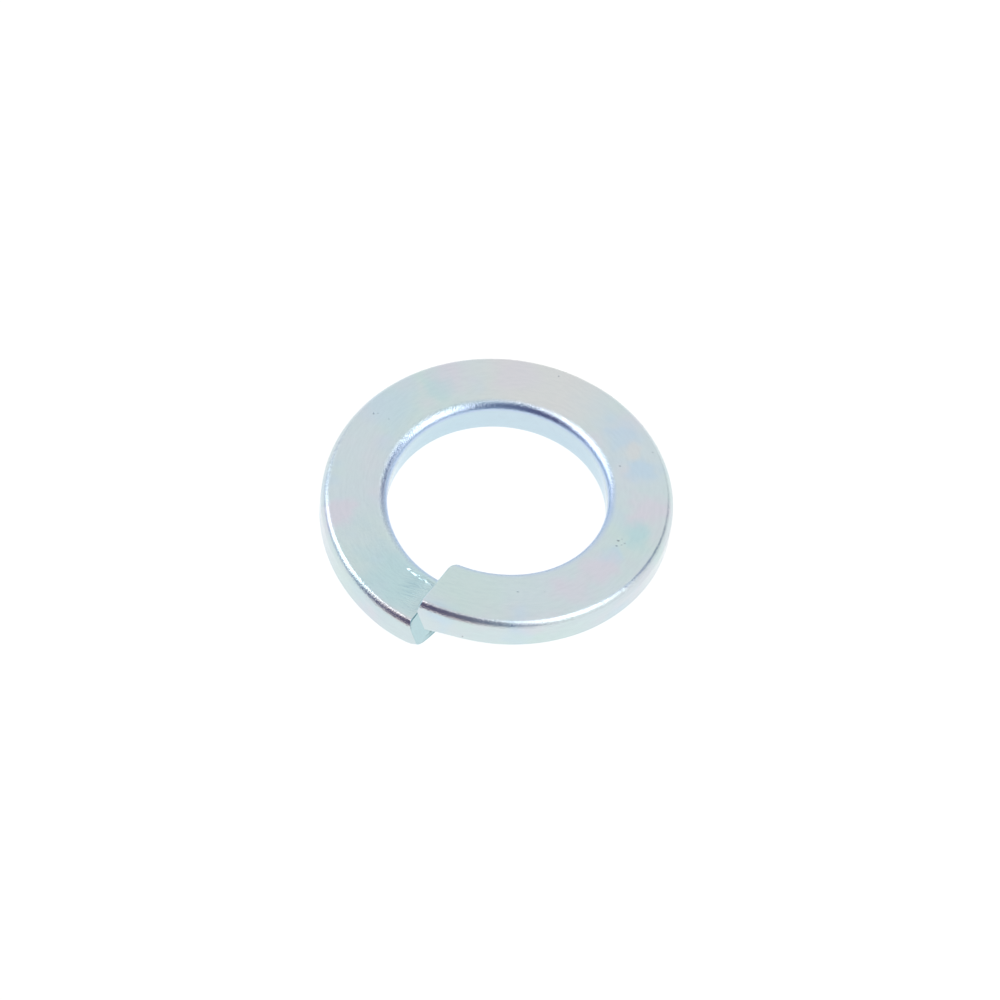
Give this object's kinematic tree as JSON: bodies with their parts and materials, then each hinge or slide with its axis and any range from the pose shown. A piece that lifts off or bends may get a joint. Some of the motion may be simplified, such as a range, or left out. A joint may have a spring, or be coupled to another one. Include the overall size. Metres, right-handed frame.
{
  "type": "spring lock washer",
  "caption": "Split spring lock washer: one coiled turn of keystone steel wire with rounded corners and a slanted cut, its ends standing apart in height.",
  "frame": {"origin": "on the bore's axis, level with the lowest point of the coil, which is on its underside near the low end of the split", "axes": "+Z along the bore's axis, up; the split faces -Y, with the low end on the -X side of it and the high end on the +X side"},
  "size_m": [0.0204, 0.0204, 0.0049],
  "materials": {
    "zinc_plated_steel": "bright zinc plate with a pale blue-green passivation over blasted spring steel, satin, mottled pink and blue in places"
  },
  "bodies": {
    "root": {"spring_washer": "zinc_plated_steel"}
  },
  "joints": []
}
